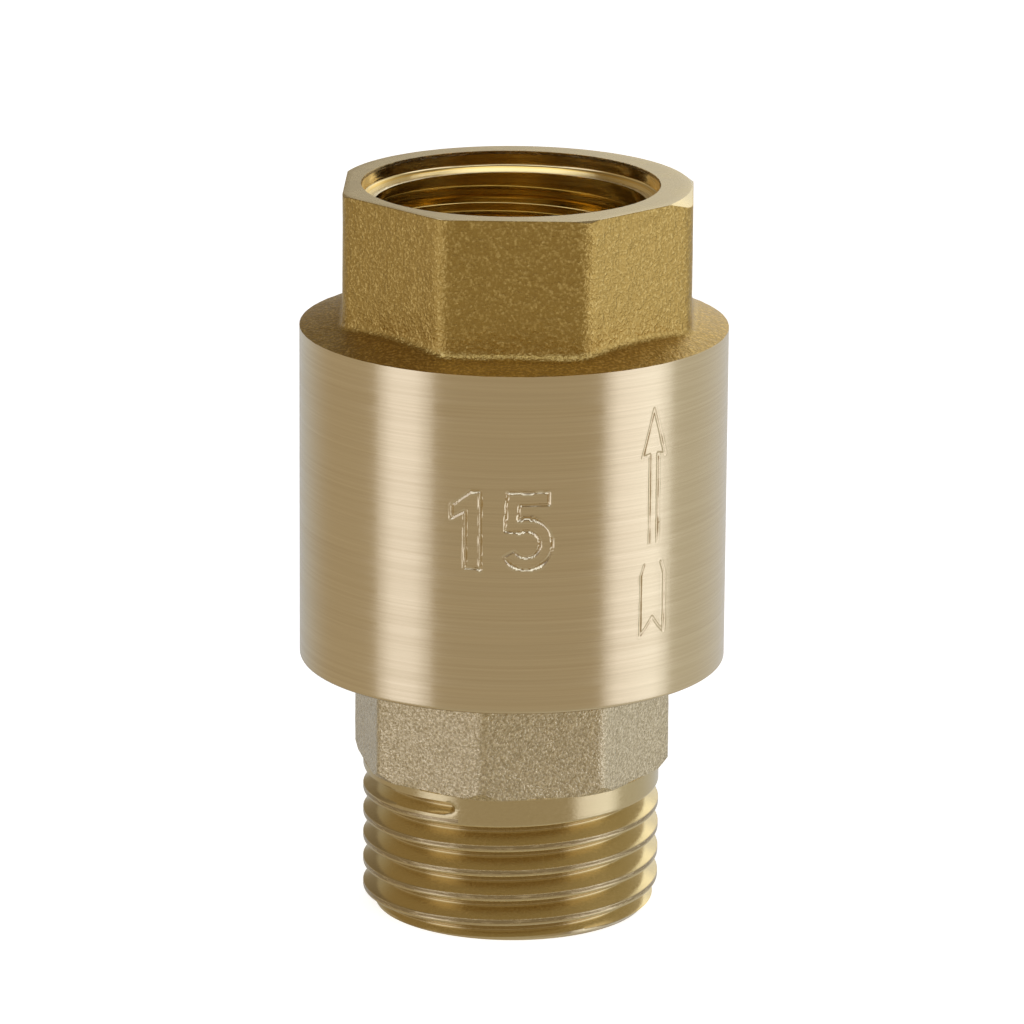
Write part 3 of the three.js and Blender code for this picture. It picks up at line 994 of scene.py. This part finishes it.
def build_guide(looks):
    """The acetal spider: a rim, a hub and three arms, joined into one moulding."""
    top = GUIDE_TOP
    guide = part_of_guide("stem_guide_spider", [
        [11.6, top - 2.2, 0.2], [11.6, top, 0.2], [9.4, top, 0.2], [9.4, top - 2.2, 0.2],
    ], 128)
    hub = part_of_guide("guide_hub", [
        [4.3, HUB_BOTTOM, 0.3], [4.3, top, 0.2], [3.2, top, 0.15], [3.2, HUB_TOP, 0.3],
        [STEM_HOLE, HUB_TOP, 0.12], [STEM_HOLE, HUB_BOTTOM, 0.12],
    ], 96)
    parts = [hub] + [guide_arm(math.radians(90 + 120 * i)) for i in range(3)]
    for part in parts:
        join = guide.modifiers.new("join", "BOOLEAN")
        join.operation = "UNION"
        join.solver = "EXACT"
        join.object = part
    mesh = bpy.data.meshes.new_from_object(guide.evaluated_get(bpy.context.evaluated_depsgraph_get()))
    for thing in parts + [guide]:
        bpy.data.objects.remove(thing)
    mesh.materials.clear()
    add_piece("stem_guide_spider", mesh, ["plain"], looks, "housing", "stem_guide")


def guide_arm(angle):
    """One arm: a bar with rounded edges from the hub to the rim."""
    inner, outer, edge = 3.4, 10.6, 0.2
    side, low, high = 1.0 - edge, SPRING_SEAT + edge, GUIDE_TOP - edge
    section = []
    for x, z, start in ((side, low, -90), (side, high, 0), (-side, high, 90), (-side, low, 180)):
        section += arc_points(x, z, edge, start, start + 90, 4)
    cos, sin = math.cos(angle), math.sin(angle)
    points = [(r * cos - x * sin, r * sin + x * cos, z) for r in (inner, outer) for x, z in section]
    n = len(section)
    faces = [list(range(n))[::-1], list(range(n, 2 * n))]
    faces += [[i, (i + 1) % n, n + (i + 1) % n, n + i] for i in range(n)]
    mesh = bpy.data.meshes.new("guide_arm")
    mesh.from_pydata([tuple(c * MM for c in p) for p in points], [], faces)
    mesh.validate()
    return placed("guide_arm", mesh)


def coil_point(turn):
    """Centre of the spring's wire: a closed turn lies at each end, with open turns between."""
    coil, active = 4.8, SPRING_TURNS - 2
    bottom = DISC_TOP + 0.02 + WIRE_RADIUS
    top = SPRING_SEAT - 0.02 - WIRE_RADIUS
    closed = 2 * WIRE_RADIUS + 0.02
    rise = top - bottom - 2 * closed
    low = min(turn, 1)
    middle = min(max(turn - 1, 0), active)
    high = max(turn - 1 - active, 0)
    z = bottom + (low + high) * closed + middle / active * rise
    return Vector((coil * math.cos(turn * TURN), coil * math.sin(turn * TURN), z))


def build_spring(looks):
    """The spring's wire, swept along the coil."""
    sides, per_turn = 18, 48
    count = int(per_turn * SPRING_TURNS)
    points = []
    for i in range(count + 1):
        turn = SPRING_TURNS * i / count
        here = coil_point(turn)
        out = Vector((here.x, here.y, 0)).normalized()
        along = (coil_point(turn + 1e-3) - coil_point(turn - 1e-3)).normalized()
        up = along.cross(out)
        if up.z < 0:
            up = -up
        for k in range(sides):
            a = TURN * k / sides
            points.append(here + (out * math.cos(a) + up * math.sin(a)) * WIRE_RADIUS)
    faces = [list(range(sides)), [count * sides + k for k in range(sides)][::-1]]
    for i in range(count):
        for k in range(sides):
            a, b = i * sides + k, i * sides + (k + 1) % sides
            faces.append([b, a, a + sides, b + sides])
    mesh = bpy.data.meshes.new("return_spring_wire")
    mesh.from_pydata([tuple(p * MM) for p in points], [], faces)
    mesh.update()
    piece = add_piece(
        "return_spring_wire", mesh, ["plain"], looks, "return_spring", "return_spring"
    )
    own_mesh(piece)


# ================= Materials =================


class Nodes:
    """A node tree under construction, with short names for what it needs."""

    def __init__(self, owner):
        owner.use_nodes = True
        self.tree = owner.node_tree

    def node(self, kind, **settings):
        made = self.tree.nodes.new(kind)
        for key, value in settings.items():
            setattr(made, key, value)
        return made

    def link(self, source, target):
        self.tree.links.new(source, target)

    def span(self, value, low, high, to_low, to_high, kind="LINEAR"):
        """Carries values from one range over to another."""
        made = self.node("ShaderNodeMapRange", interpolation_type=kind)
        for key, number in zip(("From Min", "From Max", "To Min", "To Max"), (low, high, to_low, to_high)):
            made.inputs[key].default_value = number
        self.link(value, made.inputs["Value"])
        return made.outputs["Result"]


class Shader(Nodes):
    """A metal by default, in the coordinates of its own object."""

    def __init__(self, name, color, roughness, metallic=1.0):
        self.material = bpy.data.materials.new(name)
        super().__init__(self.material)
        self.surface = self.tree.nodes["Principled BSDF"]
        self.surface.inputs["Base Color"].default_value = (*color, 1)
        self.surface.inputs["Roughness"].default_value = roughness
        self.surface.inputs["Metallic"].default_value = metallic
        self.place = self.node("ShaderNodeTexCoord").outputs["Object"]
        self.color = color

    def noise(self, scale, detail=2.0, rough=0.5):
        """Noise with a scale per metre: one number, or a number for each axis."""
        spread = self.node("ShaderNodeMapping")
        spread.inputs["Scale"].default_value = scale if isinstance(scale, tuple) else (scale, scale, scale)
        self.link(self.place, spread.inputs["Vector"])
        made = self.node("ShaderNodeTexNoise")
        made.inputs["Scale"].default_value = 1.0
        made.inputs["Detail"].default_value = detail
        made.inputs["Roughness"].default_value = rough
        self.link(spread.outputs["Vector"], made.inputs["Vector"])
        return made.outputs["Fac"]

    def rings(self):
        """Turning marks on a flat face: noise that changes with the distance from the axis."""
        flat = self.node("ShaderNodeVectorMath", operation="MULTIPLY")
        flat.inputs[1].default_value = (1, 1, 0)
        self.link(self.place, flat.inputs[0])
        length = self.node("ShaderNodeVectorMath", operation="LENGTH")
        self.link(flat.outputs["Vector"], length.inputs[0])
        made = self.node("ShaderNodeTexNoise", noise_dimensions="1D")
        made.inputs["Scale"].default_value = 9000
        made.inputs["Detail"].default_value = 3.0
        self.link(length.outputs["Value"], made.inputs["W"])
        return made.outputs["Fac"]

    def tint(self, value, low, high):
        """Base colour between low and high times the material's colour."""
        made = self.node("ShaderNodeMix", data_type="RGBA")
        made.inputs[6].default_value = (*[c * s for c, s in zip(self.color, low)], 1)
        made.inputs[7].default_value = (*[c * s for c, s in zip(self.color, high)], 1)
        self.link(value, made.inputs[0])
        self.link(made.outputs[2], self.surface.inputs["Base Color"])

    def roughness(self, value, low, high):
        self.link(self.span(value, 0.3, 0.7, low, high), self.surface.inputs["Roughness"])

    def bump(self, *layers):
        """layers are (height, distance in metres), laid over each other."""
        normal = None
        for height, distance in layers:
            made = self.node("ShaderNodeBump")
            made.inputs["Strength"].default_value = 1.0
            made.inputs["Distance"].default_value = distance
            self.link(height, made.inputs["Height"])
            if normal:
                self.link(normal, made.inputs["Normal"])
            normal = made.outputs["Normal"]
        self.link(normal, self.surface.inputs["Normal"])

    def brushed_round(self, amount):
        """Highlights stretch along the axis, as they do on turned metal."""
        made = self.node("ShaderNodeTangent", direction_type="RADIAL", axis="Z")
        self.surface.inputs["Anisotropic"].default_value = amount
        self.surface.inputs["Anisotropic Rotation"].default_value = 0.25
        self.link(made.outputs["Tangent"], self.surface.inputs["Tangent"])


def turned_skin_brass():
    """The cylinder: fine turning lines round the axis, with faint patches."""
    m = Shader("brass_turned_skin", (0.80, 0.68, 0.46), 0.22)
    lines = m.noise((45, 45, 7000), 4, 0.7)
    wide = m.noise((9, 9, 1300), 3, 0.6)
    m.tint(m.span(lines, 0.3, 0.7, 0, 1), (0.93, 0.92, 0.91), (1.05, 1.06, 1.08))
    m.roughness(wide, 0.18, 0.27)
    m.bump((wide, 4.5e-6), (lines, 3.0e-6), (m.noise(2500, 2), 1.0e-6))
    m.brushed_round(0.5)
    return m.material


def forged_brass():
    """The outlet flats: a blasted forging with a coarse grain, and painted glints in its colour."""
    m = Shader("brass_forged", (0.6, 0.43, 0.137), 0.33)
    grain = m.noise(5200, 2, 0.6)
    coarse = m.noise(1300, 4)
    # Painted glints: the grain's peaks lift the colour towards white.
    m.tint(m.span(grain, 0.5, 0.74, 0, 1), (0.86, 0.82, 0.76), (1.45, 1.55, 1.9))
    m.roughness(grain, 0.26, 0.4)
    m.bump((coarse, 1.1e-4), (grain, 5.5e-5))
    return m.material


def shoulder_brass():
    """The sloping shoulder, forged like the flats, with painted shade in its slightly darker colour and
    painted glints.
    """
    # Painted shade: a darker copy of the forged brass.
    m = Shader("brass_shoulder", (0.58, 0.41, 0.135), 0.3)
    grain = m.noise(4600, 3, 0.6)
    coarse = m.noise(1200, 4)
    # Painted glints: the grain's peaks lift the colour towards white.
    m.tint(m.span(grain, 0.46, 0.72, 0, 1), (0.78, 0.74, 0.66), (1.6, 1.7, 2.0))
    m.roughness(grain, 0.3, 0.46)
    m.bump((coarse, 1.1e-4), (grain, 7e-5))
    return m.material


def faced_brass():
    """Machined faces: the rim and the underside of the lower flats."""
    m = Shader("brass_faced", (0.84, 0.73, 0.49), 0.24)
    patches = m.noise(700, 3)
    m.tint(patches, (0.93, 0.92, 0.9), (1.05, 1.05, 1.05))
    m.roughness(patches, 0.2, 0.32)
    m.bump((m.rings(), 2.0e-6), (m.noise(4000, 2), 2.0e-6))
    return m.material


def thread_brass():
    """Cut threads: smooth, strongly coloured, with tool marks along the helix."""
    m = Shader("brass_thread", (0.71, 0.6, 0.36), 0.16)
    lines = m.noise((80, 80, 7000), 3, 0.6)
    specks = m.noise((4200, 4200, 7000), 3, 0.7)
    m.tint(specks, (0.88, 0.86, 0.82), (1.08, 1.08, 1.1))
    m.roughness(specks, 0.12, 0.26)
    m.bump((lines, 1.4e-6), (specks, 6.0e-6))
    m.brushed_round(0.3)
    return m.material


def inner_thread_brass():
    """The outlet's thread: a little rougher than the one outside, and brighter and more golden, which is
    painted reflected light inside the mouth.
    """
    # Painted light: brighter and more golden than the outer thread's brass.
    m = Shader("brass_inner_thread", (0.93, 0.72, 0.28), 0.15)
    lines = m.noise((80, 80, 6000), 3, 0.6)
    m.tint(lines, (0.88, 0.86, 0.82), (1.06, 1.06, 1.08))
    m.roughness(lines, 0.1, 0.2)
    m.bump((lines, 3e-6))
    return m.material


def painted_shade_edge_brass():
    """Dark brass for the pipe thread's worn crest, the cylinder's lower edge and the mouth's lip. Its dark
    colour is partly the worn crest and partly painted shade, and its bright flecks are painted glints.
    """
    m = Shader("brass_painted_shade_edge", (0.5, 0.4, 0.24), 0.24)
    fleck_and_painted_glint_noise = m.noise((900, 900, 7000), 3, 0.7)
    # Painted glints: the brightest flecks lift the colour towards white.
    m.tint(m.span(fleck_and_painted_glint_noise, 0.5, 0.75, 0, 1), (0.86, 0.84, 0.8), (1.7, 1.8, 2.0))
    m.roughness(fleck_and_painted_glint_noise, 0.18, 0.32)
    m.bump((fleck_and_painted_glint_noise, 5.0e-6))
    return m.material


def bore_brass():
    """Smooth bores, with faint streaks round the axis."""
    m = Shader("brass_bore", (0.92, 0.76, 0.42), 0.11)
    lines = m.noise((60, 60, 6000), 3, 0.6)
    streaks = m.noise((90, 90, 1800), 2)
    m.tint(m.noise(300, 3), (0.94, 0.93, 0.9), (1.04, 1.04, 1.05))
    m.roughness(lines, 0.09, 0.14)
    m.bump((lines, 3e-6), (streaks, 2.4e-5))
    return m.material


def ledge_brass():
    """The counterbore's cut floor, its near-white colour a painted highlight over the bright strip it
    reflects.
    """
    # Painted highlight: paler than any other brass here.
    m = Shader("brass_ledge", (0.92, 0.85, 0.68), 0.12)
    m.roughness(m.noise(900, 3), 0.1, 0.15)
    m.bump((m.rings(), 1.5e-6))
    return m.material


def cast_brass():
    """The connector's flats: pale skin with short worm-like ridges."""
    m = Shader("brass_cast", (0.76, 0.665, 0.455), 0.3)
    worms = m.noise(2600, 3, 0.6)
    ridges = m.node("ShaderNodeMath", operation="PINGPONG")
    ridges.inputs[1].default_value = 0.12
    m.link(worms, ridges.inputs[0])
    patches = m.noise(500, 3)
    fine = m.noise(5600, 2)
    m.tint(m.span(fine, 0.38, 0.66, 0, 1), (0.76, 0.74, 0.71), (1.22, 1.24, 1.32))
    m.roughness(worms, 0.2, 0.32)
    m.bump((ridges.outputs["Value"], 1.7e-4), (fine, 6e-5), (patches, 3e-5))
    return m.material


def bright_brass():
    """Turned pieces of the poppet."""
    m = Shader("brass_bright", (0.86, 0.7, 0.38), 0.18)
    m.tint(m.noise(400, 3), (0.94, 0.93, 0.9), (1.04, 1.04, 1.05))
    lines = m.noise((60, 60, 9000), 3, 0.6)
    m.roughness(lines, 0.14, 0.24)
    m.bump((lines, 1.2e-6), (m.rings(), 1.5e-6))
    return m.material


def wire_steel():
    """Drawn spring wire."""
    m = Shader("steel_wire", (0.62, 0.61, 0.59), 0.25)
    drawn = m.noise((5000, 5000, 12000), 2)
    m.roughness(drawn, 0.2, 0.34)
    m.bump((drawn, 1.5e-6))
    return m.material


def sheet_steel():
    """Rolled sheet, with its grain one way."""
    m = Shader("steel_sheet", (0.6, 0.6, 0.59), 0.28)
    grain = m.noise((400, 9000, 400), 3)
    m.roughness(grain, 0.22, 0.38)
    m.bump((grain, 1.5e-6))
    return m.material


def plastic(name, color, rough, grain_size, depth):
    """Moulded or pressed plastic and rubber, with a fine grain."""
    m = Shader(name, color, rough, metallic=0.0)
    grain = m.noise(grain_size, 3)
    m.tint(m.noise(250, 2), (0.96, 0.96, 0.96), (1.02, 1.02, 1.02))
    m.roughness(grain, rough - 0.08, rough + 0.1)
    m.bump((grain, depth))
    return m.material


# ================= Light, ground and camera =================


def floor_material():
    """White ground that lights itself a little, so that it stays pale round a soft shadow."""
    m = Shader("ground_white", (0.9, 0.9, 0.9), 0.9, metallic=0.0)
    m.surface.inputs["Specular IOR Level"].default_value = 0.0
    m.surface.inputs["Emission Color"].default_value = (1, 1, 1, 1)
    m.surface.inputs["Emission Strength"].default_value = 0.76
    return m.material


def build_floor():
    """The ground. Lamps that stand partly under it still shine through, and metal doesn't mirror it."""
    size = 3.0
    mesh = bpy.data.meshes.new("ground")
    corners = [(-size, -size, 0), (size, -size, 0), (size, size, 0), (-size, size, 0)]
    mesh.from_pydata(corners, [], [[0, 1, 2, 3]])
    mesh.materials.append(floor_material())
    ground = placed("ground", mesh)
    ground.location.z = -0.00005
    ground.visible_glossy = False
    ground.visible_shadow = False


def build_softbox(name, azimuth, distance, width, strength):
    """A tall soft light beside the camera. Azimuth is from the camera's side, to the right."""
    height = 0.42
    light = bpy.data.lights.new(name, "AREA")
    light.shape = "RECTANGLE"
    light.size = width
    light.size_y = height
    light.color = (0.94, 1.0, 1.24)
    light.energy = strength * math.pi * width * height
    lamp = placed(name, light)
    a = math.radians(azimuth)
    lamp.location = (distance * math.sin(a), -distance * math.cos(a), 0.08)
    toward = Vector((0, 0, 0.03)) - lamp.location
    lamp.rotation_mode = "QUATERNION"
    lamp.rotation_quaternion = toward.to_track_quat("-Z", "Y")


BRIGHTEST = 2.0

# Radiance of the surroundings against height, from straight down (0) to straight up (1)
FRONT = [
    (0.0, (0.43, 0.385, 0.30)), (0.25, (0.43, 0.385, 0.30)), (0.37, (0.405, 0.338, 0.242)),
    (0.56, (0.40, 0.335, 0.24)), (0.64, (0.17, 0.12, 0.07)), (0.79, (0.17, 0.12, 0.07)),
    (0.82, (1.4, 1.5, 1.7)), (0.91, (1.4, 1.5, 1.7)), (0.94, (0.17, 0.12, 0.07)),
]
LEFT = [
    (0.0, (0.43, 0.37, 0.27)), (0.5, (0.42, 0.35, 0.25)), (0.7, (0.36, 0.29, 0.19)),
    (0.85, (0.17, 0.13, 0.08)),
]
RIGHT = [
    (0.0, (0.54, 0.51, 0.45)), (0.5, (0.55, 0.53, 0.47)), (0.7, (0.6, 0.56, 0.48)),
    (0.9, (0.2, 0.16, 0.1)),
]
BACK_LEFT = [
    (0.0, (0.3, 0.3, 0.3)), (0.3, (0.42, 0.42, 0.43)), (0.4, (0.56, 0.58, 0.61)),
    (0.47, (0.57, 0.59, 0.62)), (0.56, (0.3, 0.25, 0.17)), (0.8, (0.11, 0.08, 0.05)),
]
BACK_RIGHT = [
    (0.0, (0.61, 0.61, 0.62)), (0.47, (0.61, 0.61, 0.62)), (0.56, (0.95, 0.93, 0.86)),
    (0.66, (0.95, 0.93, 0.86)), (0.72, (1.7, 1.65, 1.4)), (0.83, (1.7, 1.65, 1.4)),
    (0.865, (0.11, 0.08, 0.05)),
]


class Sky(Nodes):
    """The surroundings, by the direction looked in."""

    def __init__(self):
        world = bpy.data.worlds.new("studio")
        bpy.context.scene.world = world
        super().__init__(world)
        axes = self.node("ShaderNodeSeparateXYZ")
        self.link(self.node("ShaderNodeTexCoord").outputs["Generated"], axes.inputs[0])
        self.axes = axes.outputs

    def share(self, axis, low, high, kind="SMOOTHSTEP"):
        """0 below low and 1 above high along one axis."""
        return self.span(self.axes[axis], low, high, 0, 1, kind)

    def column(self, stops):
        """Colours by height."""
        made = self.node("ShaderNodeValToRGB")
        elements = made.color_ramp.elements
        while len(elements) < len(stops):
            elements.new(0.5)
        for element, (at, color) in zip(elements, stops):
            element.position = at
            element.color = (*[c / BRIGHTEST for c in color], 1)
        self.link(self.share("Z", -1, 1, "LINEAR"), made.inputs["Fac"])
        return made.outputs["Color"]

    def mix(self, share, first, second):
        made = self.node("ShaderNodeMix", data_type="RGBA")
        self.link(share, made.inputs[0])
        self.link(first, made.inputs[6])
        self.link(second, made.inputs[7])
        return made.outputs[2]


def build_world():
    """Dim warm surroundings in front, with a bright strip of window, and a bright wall behind."""
    sky = Sky()
    sides = sky.mix(sky.share("X", -0.3, 0.3), sky.column(LEFT), sky.column(RIGHT))
    back = sky.mix(sky.share("X", -0.1, 0.1), sky.column(BACK_LEFT), sky.column(BACK_RIGHT))
    around = sky.mix(sky.share("Y", -0.6, -0.05), sky.column(FRONT), sides)
    around = sky.mix(sky.share("Y", 0.35, 1.0), around, back)
    white = sky.node("ShaderNodeRGB")
    white.outputs[0].default_value = (1 / BRIGHTEST, 1 / BRIGHTEST, 1 / BRIGHTEST, 1)
    seen = sky.mix(sky.node("ShaderNodeLightPath").outputs["Is Camera Ray"], around, white.outputs[0])
    sky.link(seen, sky.tree.nodes["Background"].inputs["Color"])
    sky.tree.nodes["Background"].inputs["Strength"].default_value = BRIGHTEST


def build_camera():
    """A long lens, a little above and to the right of straight on."""
    distance = 0.470
    centre_height = 0.0301
    azimuth = math.radians(1.4)
    elevation = math.radians(15.36)
    pitch = math.radians(15.42)
    roll = math.radians(0.43)
    data = bpy.data.cameras.new("camera")
    data.lens = 234.98
    data.sensor_width = 36
    data.shift_x = -0.00083
    data.shift_y = -0.01465
    data.clip_start = 0.02
    data.clip_end = 20
    camera = placed("camera", data)
    out = distance * math.cos(elevation)
    camera.location = (
        out * math.sin(azimuth),
        -out * math.cos(azimuth),
        centre_height + distance * math.sin(elevation),
    )
    look = Vector((
        -math.sin(azimuth) * math.cos(pitch),
        math.cos(azimuth) * math.cos(pitch),
        -math.sin(pitch),
    ))
    camera.rotation_euler = look.to_track_quat("-Z", "Y").to_euler()
    camera.rotation_euler.rotate_axis("Z", roll)
    bpy.context.scene.camera = camera


def set_view():
    """Colours as they are, without a film look."""
    view = bpy.context.scene.view_settings
    view.view_transform = "Standard"
    view.look = "None"


# ================= Putting it together =================

thread_look = thread_brass()
# Dark brass with painted shade and painted glints, for the thread's crests, the cylinder's lower edge and
# the mouth's lip
painted_shade_edge_look = painted_shade_edge_brass()
bore_look = bore_brass()
faced_look = faced_brass()
bright_look = bright_brass()

build_body({
    "turned": turned_skin_brass(),
    "shoulder": shoulder_brass(),
    "forged": forged_brass(),
    "crest": painted_shade_edge_look,
    "rim": faced_look,
    "ledge": ledge_brass(),
    "bore": bore_look,
    "thread": thread_look,
    "inner_thread": inner_thread_brass(),
})
build_connector({
    "thread": thread_look,
    "crest": painted_shade_edge_look,
    "rim": faced_look,
    "cast": cast_brass(),
    "bore": bore_look,
})
build_joint_ring({"plain": plastic("ptfe_white", (0.86, 0.86, 0.84), 0.45, 1500, 1.0e-5)})
build_guide({"plain": plastic("acetal_natural", (0.82, 0.80, 0.74), 0.35, 900, 6e-6)})
build_spring({"plain": wire_steel()})
build_stem({"plain": bright_look, "thread": thread_look})
build_disc({"plain": bright_look})
build_seal({"plain": plastic("nitrile_black", (0.02, 0.02, 0.022), 0.5, 2500, 1.0e-5)})
build_retainer({"plain": sheet_steel()})
build_nut({"plain": bright_look})

set_view()
build_floor()
build_softbox("softbox_left", -58, 0.3, 0.19, 0.42)
build_softbox("softbox_left_core", -58, 0.29, 0.11, 0.27)
build_softbox("softbox_right", 72, 0.3, 0.25, 0.45)
build_softbox("softbox_right_core", 71, 0.29, 0.17, 0.25)
build_world()
build_camera()
